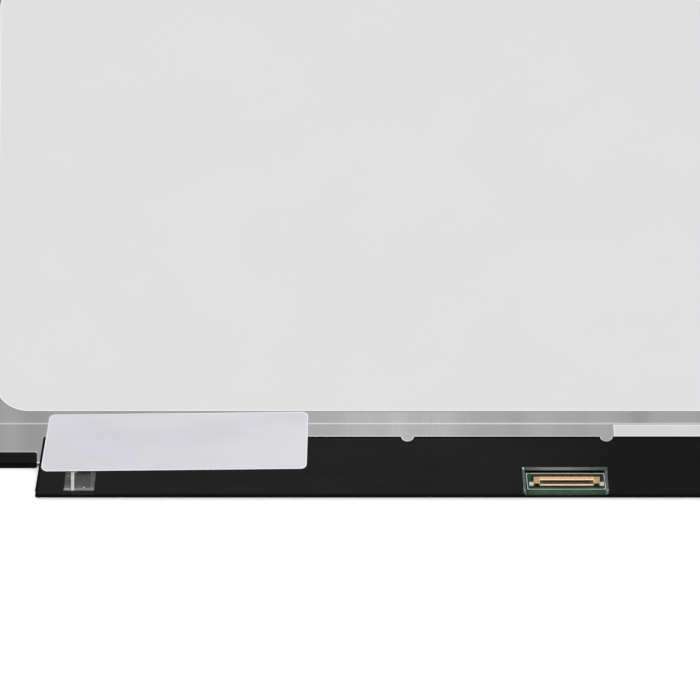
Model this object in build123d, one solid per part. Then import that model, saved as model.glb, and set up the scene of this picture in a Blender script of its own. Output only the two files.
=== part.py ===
from build123d import *
import os

# Laptop screen panel: a bare display module, lying face down with its rear up.
# X runs across the panel, Y from the board edge up to the top edge, Z from the display face to the rear.
# The origin lies under the middle of the whole outline, on the plane of the display face.
# Places on the rear are measured from the body's left edge and from its lower edge.

# Whole outline
PANEL_WIDTH = 359.5
BODY_HEIGHT = 211.0
BOARD_OVERHANG = 13.0
BODY_CORNER = 1.6

# Thickness of the layers, and the step that makes room for the reflector sheet
POLARISER = 0.15
GLASS = 0.45
REAR_POLARISER = 0.12
TAPE_RELIEF = 0.03
LEDGE = 0.2
PRISM_SHEET = 0.13
DIFFUSER = 0.1
LIGHT_GUIDE = 0.6
METAL = 0.3
JOGGLE_STEP = 0.25
LAYER_CLEARANCE = 0.05

# Rear frame: borders of its window, crease of its lower flange and latches in its walls
SIDE_BORDER = 4.8
LOWER_BORDER = 21.4
UPPER_BORDER = 4.65
WINDOW_CORNER = 11.2
CREASE_HEIGHT = 16.5
CREASE_RUN = 0.5
BEND = 0.4
FIT = 0.05
SIDE_LATCHES = 3
TOP_LATCHES = 5
LATCH_LENGTH = 7.0
LATCH_HEIGHT = 0.6
LATCH_CLEARANCE = 0.2

# Moulded frame
MOULD_RAIL = 3.95
LOWER_RAIL = 1.5
LEDGE_WIDTH = 2.8
CORNER_LIP = 18.0

# Display cell
GLASS_CLEARANCE = 0.3
GLASS_LOWER = 2.0
BOND_LEDGE = 5.0
POLARISER_INSET = 1.9
TAPE_WIDTH = 1.6
TAPE_INSET = 0.1

# Backlight
GUIDE_CLEARANCE = 0.3
GUIDE_LOWER = 6.4
SHEET_INSET = 0.3
LED_COUNT = 40
LED_LENGTH = 3.0
LED_DEPTH = 0.8
LED_GAP = 0.1
FLEX = 0.1

# Flex tail, its connector on the board and the small window over it
TAIL_LEFT = 40.0
TAIL_WIDTH = 8.1
TAIL_MARGIN = 0.15
TAIL_SLOT_HEIGHT = 0.8
TAIL_CLEARANCE = 0.3
TAIL_CONNECTOR_LEFT = 29.35
TAIL_CONNECTOR_BAR = 1.1
TAIL_CONNECTOR_ARM = 0.9
TAIL_CONNECTOR_WALL = 0.6
TAIL_CONNECTOR_HEIGHT = 1.0
TAIL_GRIP = 0.7
TAIL_WINDOW_LEFT = 26.9
TAIL_WINDOW_WIDTH = 9.7
TAIL_WINDOW_LEAN = 0.9
TAIL_WINDOW_TOP = 2.6
TAIL_WINDOW_SIDE = 0.7

# Circuit board and driver films
BOARD = 0.8
BOARD_END = 22.5
BOARD_GAP = 0.8
DRIVER_COUNT = 4
DRIVER_WIDTH = 32.0
DRIVER_FILM = 0.08
DRIVER_BOND = 2.2
DRIVER_CHIP_LENGTH = 18.0
DRIVER_CHIP_WIDTH = 1.2
DRIVER_CHIP_HEIGHT = 0.4

# Parts on the board
CONTROLLER_PLACE = 225.0
CONTROLLER_SIZE = 9.0
CONTROLLER_HEIGHT = 0.9
POWER_CHIP_PLACE = 155.0
POWER_CHIP_SIZE = 5.0
BACKLIGHT_CHIP_PLACE = 62.0
BACKLIGHT_CHIP_SIZE = 4.0
SMALL_CHIP_HEIGHT = 0.75
CHIP_EDGE = 0.12
INDUCTOR_PLACES = (76.0, 143.0)
INDUCTOR_SIZE = 4.5
INDUCTOR_CORNER = 1.2
CAPACITOR_COUNT = 12
CAPACITOR_LENGTH = 1.6
CAPACITOR_WIDTH = 0.8
RESISTOR_COUNT = 12
RESISTOR_LENGTH = 1.0
RESISTOR_WIDTH = 0.5
RESISTOR_HEIGHT = 0.35
ROW_INSET = 2.6
ROW_MARGIN = 9.0

# Display cable connector
CONNECTOR_PLACE = 187.3
CONNECTOR_WIDTH = 21.1
CONNECTOR_BACK = 5.5
CONNECTOR_DEPTH = 3.2
CONNECTOR_HEIGHT = 1.1
CONNECTOR_BASE = 0.34
CONNECTOR_WALL = 1.0
LIP_SETBACK = 0.5
SHELL_SETBACK = 1.6
LEAD_IN = 0.12
SHELL = 0.15
EAR_WIDTH = 2.0
EAR_ROUND = 0.45
EAR_WALL = 0.5
EAR_SLOT = 0.8
EAR_CAP = 0.45
SHELL_NOTCHES = 6
SHELL_NOTCH_WIDTH = 1.0
SHELL_NOTCH_DEPTH = 0.25
PIN_COUNT = 30
PIN_PITCH = 0.5
PIN_WIDTH = 0.2
PIN = 0.12
PIN_TAIL = 0.9
PIN_CLEARANCE = 0.03
HOLD_DOWN_LENGTH = 1.3
HOLD_DOWN_WIDTH = 1.5
HOLD_DOWN_HEIGHT = 0.25

# Clear film pressed down round the connector
CLEAR_FILM = 0.06
TRAY_BORDER = 0.35
TRAY_SHIFT = -0.17
TRAY_LEAN = -0.5
TRAY_TOP = 1.9
TRAY_SIDE_RUN = 1.0
TRAY_TOP_RUN = 0.4
TRAY_RIM = 1.0
CUT_OUT_SIDE = 0.4
CUT_OUT_ABOVE = 1.0
CUT_OUT_BELOW = 1.3

# Black film over the board
COVER_FILM = 0.1
COVER_TOP = 11.0
COVER_END_TOP = 20.6
COVER_END_BOTTOM = 17.85
COVER_CORNER = 1.0
COVER_FOLD = 0.35
COVER_FLAP = 3.6
NOTCH_PLACES = (136.6, 200.0)
NOTCH_DIAMETER = 4.1

# Label, tapes and strip on the rear
LABEL = 0.1
LABEL_LEFT_TOP = 22.5
LABEL_LEFT_BOTTOM = 19.65
LABEL_RIGHT_TOP = 105.0
LABEL_RIGHT_BOTTOM = 104.45
LABEL_TOP = 20.15
LABEL_RISE = 1.15
LABEL_BOTTOM = 3.8
LABEL_SLOPE = 0.8
LABEL_BRIDGE = 2.0
LABEL_CORNER = 2.0
EDGE_TAPE = 0.08
EDGE_TAPE_TOP = 4.4
EDGE_TAPE_DROP = 2.3
EDGE_TAPE_GAP = 0.8
EDGE_TAPE_CORNER = 0.8
STRIP = 0.06
STRIP_LEFT = 202.5
STRIP_LEAN = -0.35
STRIP_GAP = 0.2

# Length by which a cutting solid passes the face that it cuts
PAST = 1.0

# Edges of the body and of the board
left = -PANEL_WIDTH / 2
right = PANEL_WIDTH / 2
board_edge = -(BODY_HEIGHT + BOARD_OVERHANG) / 2
body_low = board_edge + BOARD_OVERHANG
body_high = body_low + BODY_HEIGHT

# Levels of the layers, from the display face to the rear
filter_front = POLARISER
array_front = filter_front + GLASS
array_back = array_front + GLASS
panel_tape = REAR_POLARISER + TAPE_RELIEF
ledge_front = array_back + panel_tape
sheets_front = ledge_front + LEDGE
lower_prism_front = sheets_front + PRISM_SHEET
diffuser_front = lower_prism_front + PRISM_SHEET
guide_front = diffuser_front + DIFFUSER
guide_back = guide_front + LIGHT_GUIDE
flex_front = guide_front - FLEX
flange_back = guide_back + LAYER_CLEARANCE + METAL
upper_back = flange_back + JOGGLE_STEP
board_back = array_front + BOARD

# Lines of the moulded frame, the cell and the backlight
pocket_half = right - MOULD_RAIL
pocket_high = body_high - MOULD_RAIL
aperture_half = pocket_half - LEDGE_WIDTH
aperture_high = pocket_high - LEDGE_WIDTH
aperture_low = body_low + GUIDE_LOWER + LEDGE_WIDTH
glass_half = pocket_half - GLASS_CLEARANCE
glass_high = pocket_high - GLASS_CLEARANCE
array_low = body_low + GLASS_LOWER
filter_low = array_low + BOND_LEDGE
guide_half = pocket_half - GUIDE_CLEARANCE
guide_high = pocket_high - GUIDE_CLEARANCE
guide_low = body_low + GUIDE_LOWER
rail_inner = body_low + METAL + FIT + LOWER_RAIL
shelf_high = guide_low - LED_GAP

# Lines of the board, the film over it and the connector
board_low = board_edge + COVER_FOLD
board_high = body_low - BOARD_GAP
board_middle = (board_low + board_high) / 2
cover_high = body_low + COVER_TOP
connector_x = left + CONNECTOR_PLACE
connector_half = CONNECTOR_WIDTH / 2
connector_high = body_low - CONNECTOR_BACK
connector_low = connector_high - CONNECTOR_DEPTH
connector_top = board_back + CONNECTOR_HEIGHT
housing_half = connector_half - EAR_WIDTH - FIT
base_top = board_back + CONNECTOR_BASE
cut_out_half = connector_half + HOLD_DOWN_LENGTH + CUT_OUT_SIDE
tray_half = cut_out_half + TRAY_BORDER + TRAY_SIDE_RUN
tray_x = connector_x + TRAY_SHIFT
tray_high = body_low - TRAY_TOP
tail_low = board_low + TAIL_MARGIN + TAIL_CONNECTOR_WALL + TAIL_CLEARANCE
crease_low = body_low + CREASE_HEIGHT - CREASE_RUN / 2
crease_high = crease_low + CREASE_RUN


def slab(x0, x1, y0, y1, z0, z1, corner=0.0):
    """A flat plate between two corners, with round corners in plan if asked."""
    width = x1 - x0
    height = y1 - y0
    outline = RectangleRounded(width, height, corner) if corner else Rectangle(width, height)
    return extrude(Pos((x0 + x1) / 2, (y0 + y1) / 2, z0) * outline, amount=z1 - z0, dir=(0, 0, 1))


def plate(x, y, length, width, z0, z1, corner=0.0):
    """A flat plate round a middle point, with round corners in plan if asked."""
    return slab(x - length / 2, x + length / 2, y - width / 2, y + width / 2, z0, z1, corner)


def along_x(points, x0, x1):
    """A prism along X with a section given by its (y, z) points."""
    section = Plane.YZ.offset(x0) * make_face(Polyline(*points, close=True))
    return extrude(section, amount=x1 - x0, dir=(1, 0, 0))


def plan_prism(points, z0, z1, corner=0.0):
    """An upright prism with an outline given by its (x, y) points, with round corners if asked."""
    outline = make_face(Polyline(*points, close=True))
    if corner:
        outline = fillet(outline.vertices(), corner)
    return extrude(Pos(0, 0, z0) * outline, amount=z1 - z0, dir=(0, 0, 1))


def leaning(x0, x1, y0, y1, lean):
    """Corners of a four-sided outline whose upper side is shifted along X by a lean."""
    return [(x0, y0), (x1, y0), (x1 + lean, y1), (x0 + lean, y1)]


def bent_sheet(path, thickness, side, x0, x1):
    """A sheet along X whose section follows a (y, z) path, with its thickness on one side of the path."""
    section = make_face(offset(path, thickness, side=side, kind=Kind.INTERSECTION))
    return extrude(Plane.YZ.offset(x0) * section, amount=x1 - x0, dir=(1, 0, 0))


def above_rear(drop):
    """All that lies above the rear face of the frame, lowered by a drop."""
    flange = flange_back - drop
    upper = upper_back - drop
    low = body_low - PAST
    high = body_high + PAST
    roof = upper_back + PAST
    rear = [(low, flange), (crease_low, flange), (crease_high, upper), (high, upper)]
    return along_x(rear + [(high, roof), (low, roof)], left - PAST, right + PAST)


def body_plate(inset, z0, z1):
    """A plate with the body's outline, drawn in by an inset."""
    corner = BODY_CORNER - inset
    return slab(left + inset, right - inset, body_low + inset, body_high - inset, z0, z1, corner)


def spread(count, start, end):
    """Middles of a number of equal stretches between two ends."""
    step = (end - start) / count
    return [start + step * (index + 0.5) for index in range(count)]


def latch_blocks(inner, outer, length, height):
    """Blocks across the side and top walls, where the metal latches on the moulded frame."""
    middle_z = (ledge_front + guide_back) / 2
    low = middle_z - height / 2
    high = middle_z + height / 2
    blocks = []
    for y in spread(SIDE_LATCHES, crease_high, body_high):
        block = slab(left + outer, left + inner, y - length / 2, y + length / 2, low, high)
        blocks += [block, mirror(block, Plane.YZ)]
    for x in spread(TOP_LATCHES, left, right):
        blocks.append(slab(x - length / 2, x + length / 2, body_high - inner, body_high - outer, low, high))
    return blocks


def bent_lid(back):
    """The body's outline as a solid up to a level, with its rear edge rounded as a bend."""
    lid = body_plate(0, ledge_front, back)
    return fillet(lid.faces().sort_by(Axis.Z)[-1].edges(), BEND)


def make_rear_frame():
    """Stamped frame: a lid with a joggled flange, a round-cornered window and walls turned down."""
    crease = [(crease_low, flange_back), (crease_high, upper_back)]
    above = [(body_high, upper_back), (body_high, ledge_front), (crease_low, ledge_front)]
    lid = bent_lid(flange_back) + (bent_lid(upper_back) & along_x(crease + above, left, right))
    hollow = body_plate(METAL, ledge_front - PAST, upper_back) - above_rear(METAL)
    window = slab(
        left + SIDE_BORDER, right - SIDE_BORDER, body_low + LOWER_BORDER, body_high - UPPER_BORDER,
        ledge_front, upper_back + PAST, WINDOW_CORNER)
    tail_slot = slab(
        left + TAIL_LEFT - TAIL_CLEARANCE, left + TAIL_LEFT + TAIL_WIDTH + TAIL_CLEARANCE,
        body_low - PAST, body_low + METAL + FIT / 2, ledge_front - PAST, ledge_front + TAIL_SLOT_HEIGHT)
    wall = METAL + FIT / 2
    latches = latch_blocks(wall, -PAST, LATCH_LENGTH + LATCH_CLEARANCE, LATCH_HEIGHT + LATCH_CLEARANCE)
    return lid - hollow - window - tail_slot - latches


def make_moulded_frame():
    """Plastic frame: a front lip round the cell, a ledge between cell and sheets and rails behind it."""
    inset = METAL + FIT
    rails = body_plate(inset, ledge_front, upper_back) - above_rear(METAL)
    lip = body_plate(0, 0, ledge_front)
    latches = latch_blocks(inset + PAST, FIT, LATCH_LENGTH, LATCH_HEIGHT)
    frame = rails + lip + latches
    cell_pocket = slab(
        -pocket_half, pocket_half, array_low - GLASS_CLEARANCE, pocket_high, -PAST, ledge_front)
    driver_way = slab(left + CORNER_LIP, right - CORNER_LIP, body_low - PAST, array_low, -PAST, ledge_front)
    aperture = slab(-aperture_half, aperture_half, aperture_low, aperture_high, 0, upper_back + PAST)
    guide_pocket = slab(-pocket_half, pocket_half, shelf_high, pocket_high, sheets_front, upper_back + PAST)
    led_trough = slab(-pocket_half, pocket_half, rail_inner, shelf_high, flex_front, upper_back + PAST)
    tail_slot = slab(
        left + TAIL_LEFT - TAIL_CLEARANCE, left + TAIL_LEFT + TAIL_WIDTH + TAIL_CLEARANCE,
        body_low - PAST, rail_inner + PAST, flex_front, upper_back + PAST)
    return frame - cell_pocket - driver_way - aperture - guide_pocket - led_trough - tail_slot


def make_cell():
    """Display cell: two glasses between two polarisers, and the adhesive frame behind it."""
    edge = glass_half - POLARISER_INSET
    low = filter_low + POLARISER_INSET
    high = glass_high - POLARISER_INSET
    tape_half = glass_half - TAPE_INSET
    tape_low = array_low + TAPE_INSET
    tape_high = glass_high - TAPE_INSET
    tape_outer = slab(-tape_half, tape_half, tape_low, tape_high, array_back, ledge_front)
    tape_inner = slab(
        TAPE_WIDTH - tape_half, tape_half - TAPE_WIDTH, tape_low + TAPE_WIDTH, tape_high - TAPE_WIDTH,
        array_back - PAST, ledge_front + PAST)
    return {
        "front_polariser": slab(-edge, edge, low, high, 0, filter_front),
        "colour_filter_glass": slab(
            -glass_half, glass_half, filter_low, glass_high, filter_front, array_front),
        "array_glass": slab(-glass_half, glass_half, array_low, glass_high, array_front, array_back),
        "rear_polariser": slab(-edge, edge, low, high, array_back, array_back + REAR_POLARISER),
        "panel_tape": tape_outer - tape_inner,
    }


def make_backlight():
    """Sheets, light guide and reflector, with the row of diodes on its flex along the lower edge."""
    sheet_half = guide_half - SHEET_INSET
    sheet_high = guide_high - SHEET_INSET

    def sheet(front, thickness):
        return slab(-sheet_half, sheet_half, guide_low, sheet_high, front, front + thickness)

    reflector_low = crease_high + METAL
    diodes = []
    for x in spread(LED_COUNT, -guide_half, guide_half):
        diodes.append(plate(x, shelf_high - LED_DEPTH / 2, LED_LENGTH, LED_DEPTH, guide_front, guide_back))
    strip = slab(-guide_half, guide_half, rail_inner, shelf_high, flex_front, guide_front)
    tail_left = left + TAIL_LEFT
    tail_right = tail_left + TAIL_WIDTH
    tail_end = left + TAIL_CONNECTOR_LEFT + TAIL_CONNECTOR_BAR - TAIL_GRIP + FIT
    down = slab(tail_left, tail_right, tail_low, rail_inner + PAST, flex_front, guide_front)
    across = slab(tail_end, tail_right, tail_low, tail_low + TAIL_WIDTH, flex_front, guide_front)
    return {
        "upper_prism_sheet": sheet(sheets_front, PRISM_SHEET),
        "lower_prism_sheet": sheet(lower_prism_front, PRISM_SHEET),
        "diffuser_sheet": sheet(diffuser_front, DIFFUSER),
        "light_guide_plate": slab(-guide_half, guide_half, guide_low, guide_high, guide_front, guide_back),
        "reflector_sheet": slab(
            -guide_half, guide_half, reflector_low, guide_high, guide_back, guide_back + JOGGLE_STEP),
        "led_packages": Compound(children=diodes),
        "led_flex": strip + down + across,
    }


def make_tail_connector():
    """Flex connector on the board: a bar with an arm at each end, and a slot for the flex tail."""
    bar_left = left + TAIL_CONNECTOR_LEFT
    bar_right = bar_left + TAIL_CONNECTOR_BAR
    arm_right = bar_right + TAIL_CONNECTOR_ARM
    low = tail_low - TAIL_CLEARANCE - TAIL_CONNECTOR_WALL
    high = tail_low + TAIL_WIDTH + TAIL_CLEARANCE + TAIL_CONNECTOR_WALL
    top = board_back + TAIL_CONNECTOR_HEIGHT
    block = slab(bar_left, arm_right, low, high, board_back, top)
    gap = slab(
        bar_right, arm_right + PAST, low + TAIL_CONNECTOR_WALL, high - TAIL_CONNECTOR_WALL,
        board_back - PAST, top + PAST)
    slot = slab(
        bar_right - TAIL_GRIP, arm_right, tail_low - FIT, tail_low + TAIL_WIDTH + FIT,
        flex_front, guide_front + FIT)
    return block - gap - slot


def make_drivers():
    """Films from the cell's ledge to the board's front face, each with its driver chip."""
    films = []
    chips = []
    middle = (array_low + board_high) / 2
    film_length = array_low - board_high + 2 * DRIVER_BOND
    for x in spread(DRIVER_COUNT, left + BOARD_END, right - BOARD_END):
        films.append(plate(x, middle, DRIVER_WIDTH, film_length, array_front - DRIVER_FILM, array_front))
        chips.append(plate(
            x, middle, DRIVER_CHIP_LENGTH, DRIVER_CHIP_WIDTH, array_front, array_front + DRIVER_CHIP_HEIGHT))
    return {"driver_films": Compound(children=films), "driver_chips": Compound(children=chips)}


def chip(place, size, height):
    """A square chip on the board with its top edges broken."""
    block = plate(left + place, board_middle, size, size, board_back, board_back + height)
    return chamfer(block.faces().sort_by(Axis.Z)[-1].edges(), CHIP_EDGE)


def board_row(places, y, length, width, height):
    """A row of small parts on the board."""
    return Compound(children=[plate(x, y, length, width, board_back, board_back + height) for x in places])


def make_board():
    """Circuit board below the body, with its chips, coils and rows of small parts."""
    coils = []
    for place in INDUCTOR_PLACES:
        coils.append(plate(
            left + place, board_middle, INDUCTOR_SIZE, INDUCTOR_SIZE,
            board_back, flange_back, INDUCTOR_CORNER))
    return {
        "circuit_board": slab(
            left + BOARD_END, right - BOARD_END, board_low, board_high, array_front, board_back),
        "timing_controller": chip(CONTROLLER_PLACE, CONTROLLER_SIZE, CONTROLLER_HEIGHT),
        "power_chip": chip(POWER_CHIP_PLACE, POWER_CHIP_SIZE, SMALL_CHIP_HEIGHT),
        "backlight_driver_chip": chip(BACKLIGHT_CHIP_PLACE, BACKLIGHT_CHIP_SIZE, SMALL_CHIP_HEIGHT),
        "inductors": Compound(children=coils),
        "capacitors": board_row(
            spread(CAPACITOR_COUNT, left + BACKLIGHT_CHIP_PLACE, left + POWER_CHIP_PLACE),
            board_low + ROW_INSET, CAPACITOR_LENGTH, CAPACITOR_WIDTH, CAPACITOR_WIDTH),
        "resistors": board_row(
            spread(RESISTOR_COUNT, left + CONTROLLER_PLACE + ROW_MARGIN, right - BOARD_END - ROW_MARGIN),
            board_high - ROW_INSET, RESISTOR_LENGTH, RESISTOR_WIDTH, RESISTOR_HEIGHT),
        "tail_connector": make_tail_connector(),
    }


def pin_places():
    """Middles of the connector's contacts along X."""
    first = connector_x - PIN_PITCH * (PIN_COUNT - 1) / 2
    return [first + PIN_PITCH * index for index in range(PIN_COUNT)]


def make_contacts():
    """Contacts: a foot on the board behind the housing, a riser in its wall and a blade on its base."""
    foot_end = connector_high + PIN_TAIL
    riser = connector_high - CONNECTOR_WALL / 2
    blade_end = connector_low + LIP_SETBACK
    path = Polyline((foot_end, board_back), (riser, board_back), (riser, base_top), (blade_end, base_top))
    contacts = []
    for x in pin_places():
        contacts.append(bent_sheet(path, PIN, Side.RIGHT, x - PIN_WIDTH / 2, x + PIN_WIDTH / 2))
    return Compound(children=contacts)


def make_housing():
    """Connector housing: a base with an open mouth, a rear wall and a slot in it for each contact."""
    section = [
        (connector_low, board_back), (connector_high, board_back), (connector_high, connector_top - SHELL),
        (connector_high - CONNECTOR_WALL, connector_top - SHELL), (connector_high - CONNECTOR_WALL, base_top),
        (connector_low + LEAD_IN, base_top), (connector_low, base_top - LEAD_IN)]
    housing = along_x(section, connector_x - housing_half, connector_x + housing_half)
    slot_half = PIN_WIDTH / 2 + PIN_CLEARANCE
    slot_top = base_top + PIN + PIN_CLEARANCE
    riser = connector_high - CONNECTOR_WALL / 2
    slots = []
    for x in pin_places():
        slots.append(slab(
            x - slot_half, x + slot_half, riser - PIN - PIN_CLEARANCE, connector_high + PAST,
            board_back - PAST, slot_top))
        slots.append(slab(
            x - slot_half, x + slot_half, connector_high - CONNECTOR_WALL - PAST / 2, riser,
            base_top, slot_top))
    return housing - slots


def make_shell():
    """Connector shell: a top plate with a notched back edge and a slotted, rounded ear at each end."""
    roof = slab(
        connector_x - connector_half, connector_x + connector_half,
        connector_low + SHELL_SETBACK, connector_high, connector_top - SHELL, connector_top)
    notches = []
    for x in spread(SHELL_NOTCHES, connector_x - housing_half, connector_x + housing_half):
        notches.append(plate(
            x, connector_high, SHELL_NOTCH_WIDTH, 2 * SHELL_NOTCH_DEPTH,
            connector_top - SHELL - PAST, connector_top + PAST))
    shell = roof - notches
    for side in (-1, 1):
        x = connector_x + side * (connector_half - EAR_WIDTH / 2)
        y = (connector_low + SHELL + connector_high) / 2
        ear = plate(x, y, EAR_WIDTH, CONNECTOR_DEPTH - SHELL, board_back, connector_top)
        front = ear.edges().filter_by(Axis.Z).sort_by(Axis.Y)[:2]
        shell += fillet(front, EAR_ROUND) - ear_slot(x)
    return shell


def ear_slot(x):
    """The slot that parts an ear's outer wall from its inner one, from the front and from above."""
    return plate(
        x, connector_low, EAR_WIDTH - 2 * EAR_WALL, 2 * EAR_SLOT, board_back - PAST, connector_top - EAR_CAP)


def make_hold_downs():
    """Solder tabs that hold the shell's ears to the board."""
    tabs = []
    for side in (-1, 1):
        x = connector_x + side * (connector_half + HOLD_DOWN_LENGTH / 2)
        y = connector_low + HOLD_DOWN_WIDTH / 2
        tabs.append(plate(
            x, y, HOLD_DOWN_LENGTH, HOLD_DOWN_WIDTH, board_back, board_back + HOLD_DOWN_HEIGHT))
    return Compound(children=tabs)


def make_connector():
    """Display cable receptacle, soldered to the board with its mouth to the board's edge."""
    return {
        "connector_housing": make_housing(),
        "connector_shell": make_shell(),
        "connector_contacts": make_contacts(),
        "connector_hold_downs": make_hold_downs(),
    }


def tray_outline(half, rim):
    """Outline of the clear tray in plan, grown upwards by a rim."""
    lean = TRAY_LEAN * (tray_high + rim - board_low) / (tray_high - board_low)
    return leaning(tray_x - half, tray_x + half, board_low, tray_high + rim, lean)


def tray_hollow(grow):
    """The hollow of the clear tray, grown by a film's thickness for its outside."""
    floor = board_back + CLEAR_FILM - grow
    floor_half = cut_out_half + TRAY_BORDER + grow
    bottom = make_face(Polyline(*tray_outline(floor_half, grow - TRAY_TOP_RUN), close=True))
    top = make_face(Polyline(*tray_outline(tray_half + grow, grow), close=True))
    return loft([Pos(0, 0, floor) * bottom, Pos(0, 0, flange_back) * top])


def make_connector_window():
    """Clear film round the connector: a rim under the black film, sloped walls and a floor on the board."""
    rim = plan_prism(tray_outline(tray_half + TRAY_RIM, TRAY_RIM), flange_back - CLEAR_FILM, flange_back)
    cut_out = plan_prism(
        leaning(
            connector_x - cut_out_half, connector_x + cut_out_half,
            connector_low - CUT_OUT_BELOW, connector_high + PIN_TAIL + CUT_OUT_ABOVE, TRAY_LEAN),
        board_back - PAST, flange_back + PAST, COVER_CORNER / 2)
    return rim + tray_hollow(CLEAR_FILM) - tray_hollow(0) - cut_out


def cover_path(inset):
    """Section of the folded film over the board, drawn in by an inset, as a (y, z) path of its outside."""
    rear = flange_back + COVER_FILM - inset
    fold = board_edge + inset
    front = array_front - COVER_FILM
    return FilletPolyline(
        (cover_high, rear), (fold, rear), (fold, front), (fold + COVER_FLAP, front),
        radius=COVER_FOLD - inset)


def tail_outline(rim):
    """Outline of the small window in plan, grown by a rim."""
    start = left + TAIL_WINDOW_LEFT
    return leaning(
        start - rim, start + TAIL_WINDOW_WIDTH + rim, board_edge - PAST, body_low - TAIL_WINDOW_TOP + rim,
        TAIL_WINDOW_LEAN)


def make_cover_film():
    """Black film over flange and board, folded round the board's lower edge, with notches and openings."""
    end = left + COVER_END_BOTTOM
    film = bent_sheet(cover_path(0), COVER_FILM, Side.LEFT, end, -end)
    top_end = left + COVER_END_TOP
    outline = [(top_end, cover_high), (end, board_edge), (-end, board_edge), (-top_end, cover_high)]
    film = film & plan_prism(outline, -PAST, flange_back + PAST, COVER_CORNER)
    punch = Cylinder(NOTCH_DIAMETER / 2, PAST)
    notches = [Pos(left + place, cover_high, flange_back) * punch for place in NOTCH_PLACES]
    rear_opening = plan_prism(tray_outline(tray_half, 0), board_back, flange_back + PAST)
    fold_opening = slab(
        tray_x - tray_half, tray_x + tray_half, board_edge - PAST, board_low, board_back, flange_back + PAST)
    tail_opening = plan_prism(tail_outline(0), flange_back - TAIL_WINDOW_SIDE, flange_back + PAST)
    return film - notches - rear_opening - fold_opening - tail_opening


def make_tail_window():
    """Clear film behind the small opening, bent over the board's edge like the black film."""
    film = bent_sheet(cover_path(COVER_FILM), CLEAR_FILM, Side.LEFT, left, 0)
    keep = plan_prism(
        tail_outline(TRAY_RIM), flange_back - TAIL_WINDOW_SIDE - TRAY_RIM, flange_back + PAST)
    return film & keep


def make_label():
    """Paper label that lies over the crease, bridging its step, and over the film's upper edge."""
    cover_back = flange_back + COVER_FILM
    path = Polyline(
        (body_low + LOWER_BORDER, upper_back), (crease_high, upper_back),
        (crease_low - LABEL_BRIDGE, flange_back), (cover_high + LABEL_SLOPE, flange_back),
        (cover_high, cover_back), (board_edge, cover_back))
    sheet = bent_sheet(path, LABEL, Side.RIGHT, left, 0)
    outline = [
        (left + LABEL_LEFT_TOP, body_low + LABEL_TOP),
        (left + LABEL_LEFT_BOTTOM, body_low - LABEL_BOTTOM),
        (left + LABEL_RIGHT_BOTTOM, body_low - LABEL_BOTTOM + LABEL_RISE),
        (left + LABEL_RIGHT_TOP, body_low + LABEL_TOP + LABEL_RISE)]
    return sheet & plan_prism(outline, 0, upper_back + PAST, LABEL_CORNER)


def make_edge_tape():
    """Black tape round the body's lower edge at the left corner."""
    low = body_low - PAST
    high = body_low + EDGE_TAPE_TOP
    path = FilletPolyline(
        (high, flange_back), (body_low, flange_back), (body_low, flange_back - EDGE_TAPE_DROP), radius=BEND)
    start = left + BODY_CORNER
    lean = (COVER_END_TOP - COVER_END_BOTTOM) * BOARD_OVERHANG / (BOARD_OVERHANG + COVER_TOP)
    end = left + COVER_END_BOTTOM + lean - EDGE_TAPE_GAP
    tape = bent_sheet(path, EDGE_TAPE, Side.RIGHT, start, end)
    outline = [(start, low), (end, low), (end, high), (start, high)]
    return tape & plan_prism(outline, 0, upper_back, EDGE_TAPE_CORNER)


def make_strip_tape():
    """Light strip on the flange, beside the upper edge of the black film."""
    low = cover_high + STRIP_GAP
    high = crease_low - STRIP_GAP
    start = left + STRIP_LEFT
    end = right - COVER_END_TOP
    outline = [(start, low), (end, low), (end, high), (start + STRIP_LEAN, high)]
    return plan_prism(outline, flange_back, flange_back + STRIP, STRIP_GAP)


edge_tape_left = make_edge_tape()
pieces = {
    "rear_frame": make_rear_frame(),
    "moulded_frame": make_moulded_frame(),
    "board_cover_film": make_cover_film(),
    "connector_window_film": make_connector_window(),
    "tail_window_film": make_tail_window(),
    "label": make_label(),
    "edge_tape_left": edge_tape_left,
    "edge_tape_right": mirror(edge_tape_left, Plane.YZ),
    "strip_tape": make_strip_tape(),
}
pieces.update(make_cell())
pieces.update(make_backlight())
pieces.update(make_drivers())
pieces.update(make_board())
pieces.update(make_connector())

os.makedirs("parts", exist_ok=True)
for name, piece in pieces.items():
    export_step(piece, f"parts/{name}.step")
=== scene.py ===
import math
import bpy
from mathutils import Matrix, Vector
from mathutils.geometry import convex_hull_2d


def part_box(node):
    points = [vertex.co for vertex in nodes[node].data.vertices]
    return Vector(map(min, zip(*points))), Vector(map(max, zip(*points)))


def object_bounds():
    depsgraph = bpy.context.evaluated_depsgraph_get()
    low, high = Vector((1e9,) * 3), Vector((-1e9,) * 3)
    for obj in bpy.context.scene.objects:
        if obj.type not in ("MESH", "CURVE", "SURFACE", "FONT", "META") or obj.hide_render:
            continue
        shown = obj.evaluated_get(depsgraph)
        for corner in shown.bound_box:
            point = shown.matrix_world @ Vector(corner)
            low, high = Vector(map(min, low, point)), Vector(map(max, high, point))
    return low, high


# Laptop screen panel, lying face down on a white floor with its rear up.
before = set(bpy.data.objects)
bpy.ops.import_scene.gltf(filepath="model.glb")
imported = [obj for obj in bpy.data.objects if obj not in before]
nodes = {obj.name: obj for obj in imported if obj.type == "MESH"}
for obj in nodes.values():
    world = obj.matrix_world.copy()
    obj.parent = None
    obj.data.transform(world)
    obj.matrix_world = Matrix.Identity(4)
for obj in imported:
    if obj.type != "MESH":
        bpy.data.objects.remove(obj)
cad_low, cad_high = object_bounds()

MM = 0.001

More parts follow.
